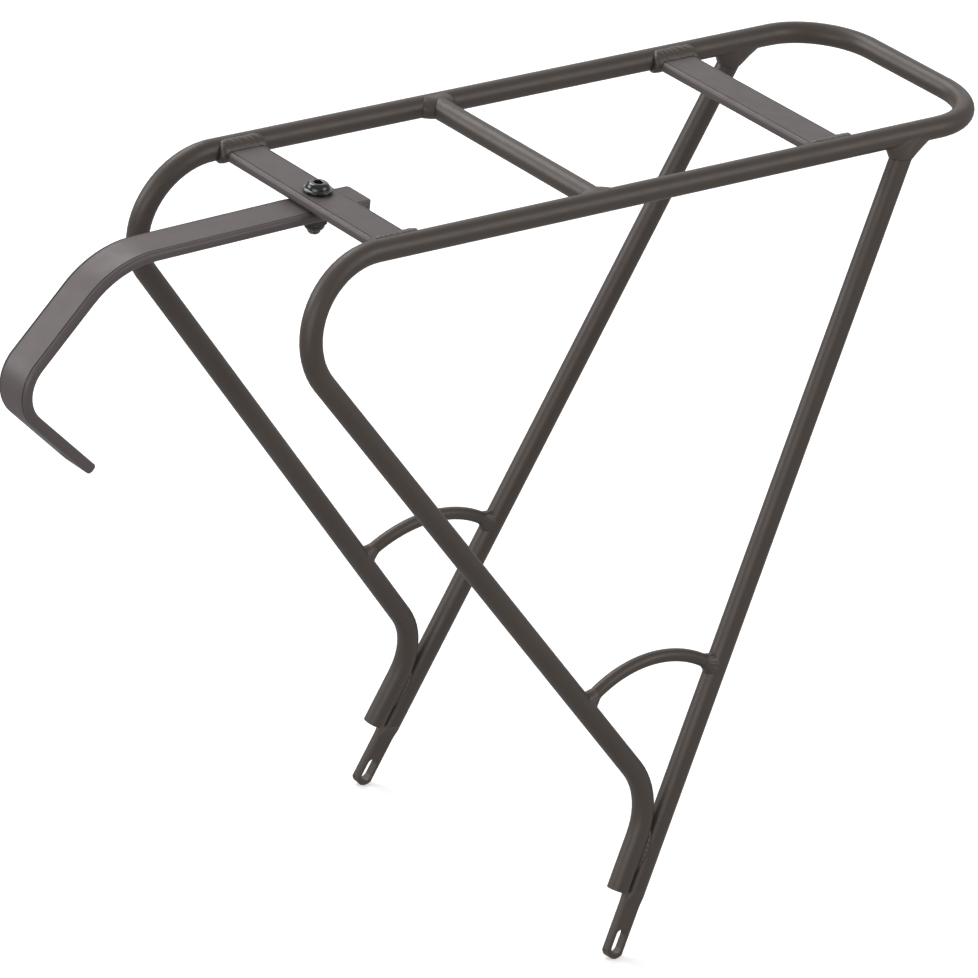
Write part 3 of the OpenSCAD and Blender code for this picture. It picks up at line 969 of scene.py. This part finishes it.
@dataclass(frozen=True)
class Softbox:
    """A rectangular lamp that faces a point."""

    name: str
    place: tuple[float, float, float]
    aim: tuple[float, float, float]
    size: tuple[float, float]
    power: float

    def hang(self) -> None:
        """Puts the lamp into the scene."""
        data = bpy.data.lights.new(self.name, "AREA")
        data.shape = "RECTANGLE"
        data.size, data.size_y = self.size
        data.energy = self.power
        lamp = bpy.data.objects.new(self.name, data)
        away = unit(np.array(self.place) - np.array(self.aim))
        lamp.matrix_world = facing(np.array(self.place), away, 0.0)
        bpy.context.scene.collection.objects.link(lamp)


def facing(place: Array, back: Array, roll: float) -> Matrix:
    """World matrix of a thing at place whose local Z is back.

    Its local X is level, before it is rolled about Z.

    Args:
        place: The thing's place.
        back: Unit vector of its local Z.
        roll: Angle by which it is rolled.

    Returns:
        The matrix.
    """
    across = unit(np.cross((0.0, 0.0, 1.0), back))
    up = np.cross(back, across)
    right = math.cos(roll) * across + math.sin(roll) * up
    top = math.cos(roll) * up - math.sin(roll) * across
    matrix = np.eye(4)
    matrix[:3, 0], matrix[:3, 1], matrix[:3, 2], matrix[:3, 3] = right, top, back, place
    return Matrix(matrix.tolist())


@dataclass(frozen=True)
class Studio:
    """Long-lens camera, soft lamps, pale floor and pale surroundings."""

    camera_place: tuple[float, float, float] = (-1.9403, -2.2153, 1.5687)
    yaw: float = math.radians(40.858)
    pitch: float = math.radians(25.188)
    roll: float = math.radians(6.258)
    lens_mm: float = 266.5
    clip_end: float = 200.0
    floor_half: float = 40.0
    sky_strength: float = 0.42

    def lamps(self) -> list[Softbox]:
        """The lamps: window, back and overhead on the carrier's right, front and the low side on its left."""
        middle = (-0.05, 0.0, 0.2)
        return [
            Softbox("window", (-2.0, 1.9, 1.3), middle, (1.8, 1.6), 34),
            Softbox("back", (1.75, 1.95, 1.44), middle, (2.4, 1.8), 7),
            Softbox("front", (1.5, -2.4, 1.6), middle, (2.0, 2.0), 26),
            Softbox("side", (-2.8, -1.3, 0.7), middle, (2.4, 1.8), 26),
            Softbox("overhead", (-0.05, 2.0, 2.4), middle, (1.7, 1.5), 34),
        ]

    def camera(self) -> None:
        """Puts the camera in its place."""
        data = bpy.data.cameras.new("camera")
        data.lens = self.lens_mm
        data.clip_end = self.clip_end
        camera = bpy.data.objects.new("camera", data)
        level = math.cos(self.pitch)
        view = np.array([math.sin(self.yaw) * level, math.cos(self.yaw) * level, -math.sin(self.pitch)])
        camera.matrix_world = facing(np.array(self.camera_place), -view, self.roll)
        bpy.context.scene.collection.objects.link(camera)
        bpy.context.scene.camera = camera

    def floor(self) -> None:
        """Lays the floor under the feet of the stays."""
        low = min(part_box(f"stay_{side.word}")[0][2] for side in Side)
        half = self.floor_half
        corners = [(-half, -half, low), (half, -half, low), (half, half, low), (-half, half, low)]
        mesh = bpy.data.meshes.new("floor")
        mesh.from_pydata(corners, [], [(0, 1, 2, 3)])
        mesh.materials.append(finished(PaleFloor()))
        floor = bpy.data.objects.new("floor", mesh)
        bpy.context.scene.collection.objects.link(floor)
        floor.visible_diffuse = False
        floor.visible_glossy = False

    def surroundings(self) -> None:
        """Even pale light from all round."""
        world = bpy.data.worlds.new("studio")
        world.use_nodes = True
        sky = world.node_tree.nodes["Background"]
        sky.inputs["Color"].default_value = (1, 1, 1, 1)
        sky.inputs["Strength"].default_value = self.sky_strength
        bpy.context.scene.world = world
        bpy.context.scene.view_settings.view_transform = "Standard"

    def build(self) -> None:
        """Sets up the whole studio."""
        self.camera()
        self.floor()
        self.surroundings()
        for lamp in self.lamps():
            lamp.hang()
        log.info("studio: camera, floor and %d lamps", len(self.lamps()))


def main() -> None:
    """Builds the carrier's looks and the studio."""
    logging.basicConfig(level=logging.INFO, format="%(name)s %(message)s")
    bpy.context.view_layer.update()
    sizes = CarrierSizes()
    Studio().build()
    CoatedNodes().build()
    RailWelds(sizes).build()
    BraceWelds(sizes).build()
    StayWelds(sizes).build()
    ClampBolt().build()


if __name__ == "__main__":
    main()
